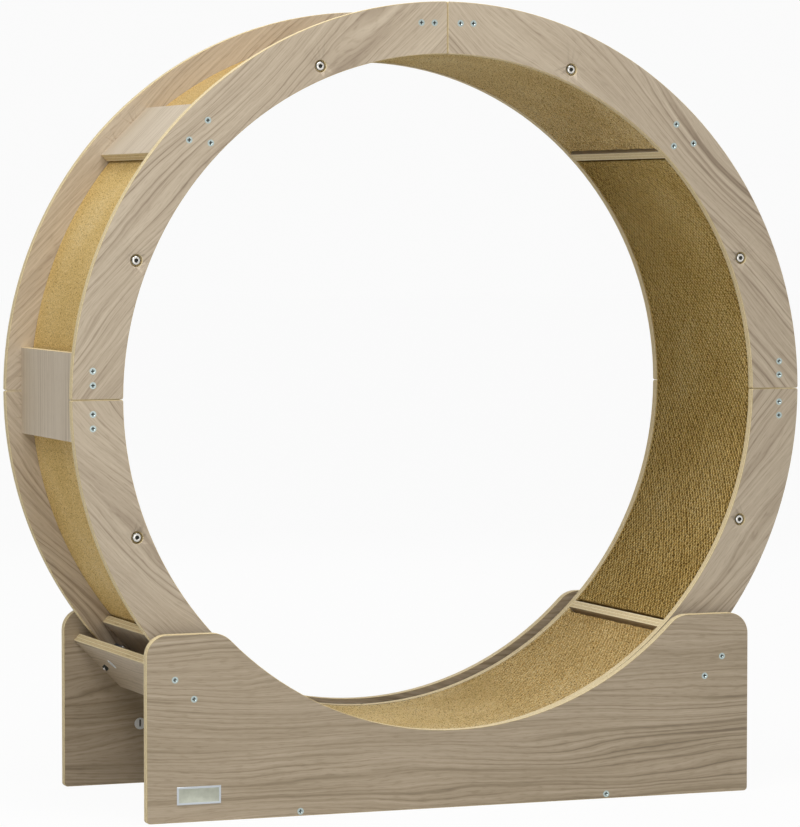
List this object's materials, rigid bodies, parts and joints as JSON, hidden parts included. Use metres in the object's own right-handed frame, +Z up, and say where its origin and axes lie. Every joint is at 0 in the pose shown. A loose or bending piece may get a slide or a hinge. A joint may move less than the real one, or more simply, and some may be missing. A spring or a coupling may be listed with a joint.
{
  "type": "cat exercise wheel",
  "caption": "Free-standing plywood running wheel for a cat: two oak-faced rings joined by slats and curved card pads, carried on rollers between two side panels.",
  "frame": {"origin": "the middle of the footprint, on the floor under the wheel's axis", "axes": "+Z up, the wheel turns about Y, and -Y is the front, where the bare metal plate is"},
  "size_m": [1.02, 0.3774, 1.048],
  "materials": {
    "ring_laminate_plywood": "matt printed oak laminate on both faces of birch plywood, light bare ply edges",
    "slat_laminate_plywood": "matt printed oak laminate on both faces of birch plywood, light bare ply edges",
    "base_laminate_plywood": "matt printed oak laminate on both faces of birch plywood, light bare ply edges",
    "corrugated_card": "cut edges of stacked corrugated strips, matt",
    "zinc_screw_steel": "bright zinc plate",
    "nickel_bolt_steel": "polished nickel plate",
    "zinc_turned_steel": "turned and zinc plated",
    "bearing_steel": "ground steel",
    "roller_rubber": "matt moulded rubber",
    "guide_nylon": "turned nylon",
    "plate_aluminium": "satin pressed plate with a bevelled border",
    "disc_paper": "gloss white paper label"
  },
  "bodies": {
    "base": {"assembly_discs": "disc_paper", "axle_bolts": "nickel_bolt_steel", "axle_inserts": "zinc_turned_steel", "axle_spacers": "zinc_turned_steel", "back_side_panel": "base_laminate_plywood", "base_screws": "zinc_screw_steel", "bearing_inner_races": "bearing_steel", "floor_board": "base_laminate_plywood", "front_side_panel": "base_laminate_plywood", "guide_bolts": "nickel_bolt_steel", "guide_bushes": "zinc_turned_steel", "guide_nuts": "zinc_turned_steel", "left_cross_panel": "base_laminate_plywood", "name_plate": "plate_aluminium", "right_cross_panel": "base_laminate_plywood"},
    "wheel": {"back_ring_lower_left": "ring_laminate_plywood", "back_ring_lower_right": "ring_laminate_plywood", "back_ring_upper_left": "ring_laminate_plywood", "back_ring_upper_right": "ring_laminate_plywood", "cover_slat_lower_left": "slat_laminate_plywood", "cover_slat_lower_right": "slat_laminate_plywood", "cover_slat_upper_left": "slat_laminate_plywood", "cover_slat_upper_right": "slat_laminate_plywood", "divider_lower_left": "slat_laminate_plywood", "divider_lower_right": "slat_laminate_plywood", "divider_upper_left": "slat_laminate_plywood", "divider_upper_right": "slat_laminate_plywood", "front_ring_lower_left": "ring_laminate_plywood", "front_ring_lower_right": "ring_laminate_plywood", "front_ring_upper_left": "ring_laminate_plywood", "front_ring_upper_right": "ring_laminate_plywood", "joint_slat_bottom": "slat_laminate_plywood", "joint_slat_left": "slat_laminate_plywood", "joint_slat_right": "slat_laminate_plywood", "joint_slat_top": "slat_laminate_plywood", "scratch_pad_bottom": "corrugated_card", "scratch_pad_left": "corrugated_card", "scratch_pad_right": "corrugated_card", "scratch_pad_top": "corrugated_card", "slat_screws": "zinc_screw_steel", "tie_bolts": "nickel_bolt_steel", "tie_tubes": "zinc_turned_steel"},
    "carrying_roller_front_left": {"bearing_balls_front_left": "bearing_steel", "bearing_shell_front_left": "bearing_steel", "roller_tyre_front_left": "roller_rubber"},
    "carrying_roller_front_right": {"bearing_balls_front_right": "bearing_steel", "bearing_shell_front_right": "bearing_steel", "roller_tyre_front_right": "roller_rubber"},
    "carrying_roller_back_left": {"bearing_balls_back_left": "bearing_steel", "bearing_shell_back_left": "bearing_steel", "roller_tyre_back_left": "roller_rubber"},
    "carrying_roller_back_right": {"bearing_balls_back_right": "bearing_steel", "bearing_shell_back_right": "bearing_steel", "roller_tyre_back_right": "roller_rubber"},
    "side_guide_front_left": {"guide_roller_front_left": "guide_nylon"},
    "side_guide_front_right": {"guide_roller_front_right": "guide_nylon"},
    "side_guide_back_left": {"guide_roller_back_left": "guide_nylon"},
    "side_guide_back_right": {"guide_roller_back_right": "guide_nylon"}
  },
  "joints": [
    {"name": "wheel_turn", "type": "hinge", "parent": "base", "child": "wheel", "pos_m": [0, 0, 0.538], "axis": [0, 1, 0], "continuous": true},
    {"name": "carrying_roller_turn_front_left", "type": "hinge", "parent": "base", "child": "carrying_roller_front_left", "pos_m": [-0.26265, -0.1525, 0.08308], "axis": [0, 1, 0], "continuous": true},
    {"name": "carrying_roller_turn_front_right", "type": "hinge", "parent": "base", "child": "carrying_roller_front_right", "pos_m": [0.26265, -0.1525, 0.08308], "axis": [0, 1, 0], "continuous": true},
    {"name": "carrying_roller_turn_back_left", "type": "hinge", "parent": "base", "child": "carrying_roller_back_left", "pos_m": [-0.26265, 0.1525, 0.08308], "axis": [0, 1, 0], "continuous": true},
    {"name": "carrying_roller_turn_back_right", "type": "hinge", "parent": "base", "child": "carrying_roller_back_right", "pos_m": [0.26265, 0.1525, 0.08308], "axis": [0, 1, 0], "continuous": true},
    {"name": "side_guide_turn_front_left", "type": "hinge", "parent": "base", "child": "side_guide_front_left", "pos_m": [-0.35638, -0.1333, 0.18445], "axis": [0.7071, 0, 0.7071], "continuous": true},
    {"name": "side_guide_turn_front_right", "type": "hinge", "parent": "base", "child": "side_guide_front_right", "pos_m": [0.35638, -0.1333, 0.18445], "axis": [-0.7071, 0, 0.7071], "continuous": true},
    {"name": "side_guide_turn_back_left", "type": "hinge", "parent": "base", "child": "side_guide_back_left", "pos_m": [-0.35638, 0.1333, 0.18445], "axis": [0.7071, 0, 0.7071], "continuous": true},
    {"name": "side_guide_turn_back_right", "type": "hinge", "parent": "base", "child": "side_guide_back_right", "pos_m": [0.35638, 0.1333, 0.18445], "axis": [-0.7071, 0, 0.7071], "continuous": true}
  ],
  "couplings": [
    {"joint": "carrying_roller_turn_front_left", "follows": "wheel_turn", "ratio": -34},
    {"joint": "carrying_roller_turn_front_right", "follows": "wheel_turn", "ratio": -34},
    {"joint": "carrying_roller_turn_back_left", "follows": "wheel_turn", "ratio": -34},
    {"joint": "carrying_roller_turn_back_right", "follows": "wheel_turn", "ratio": -34}
  ]
}
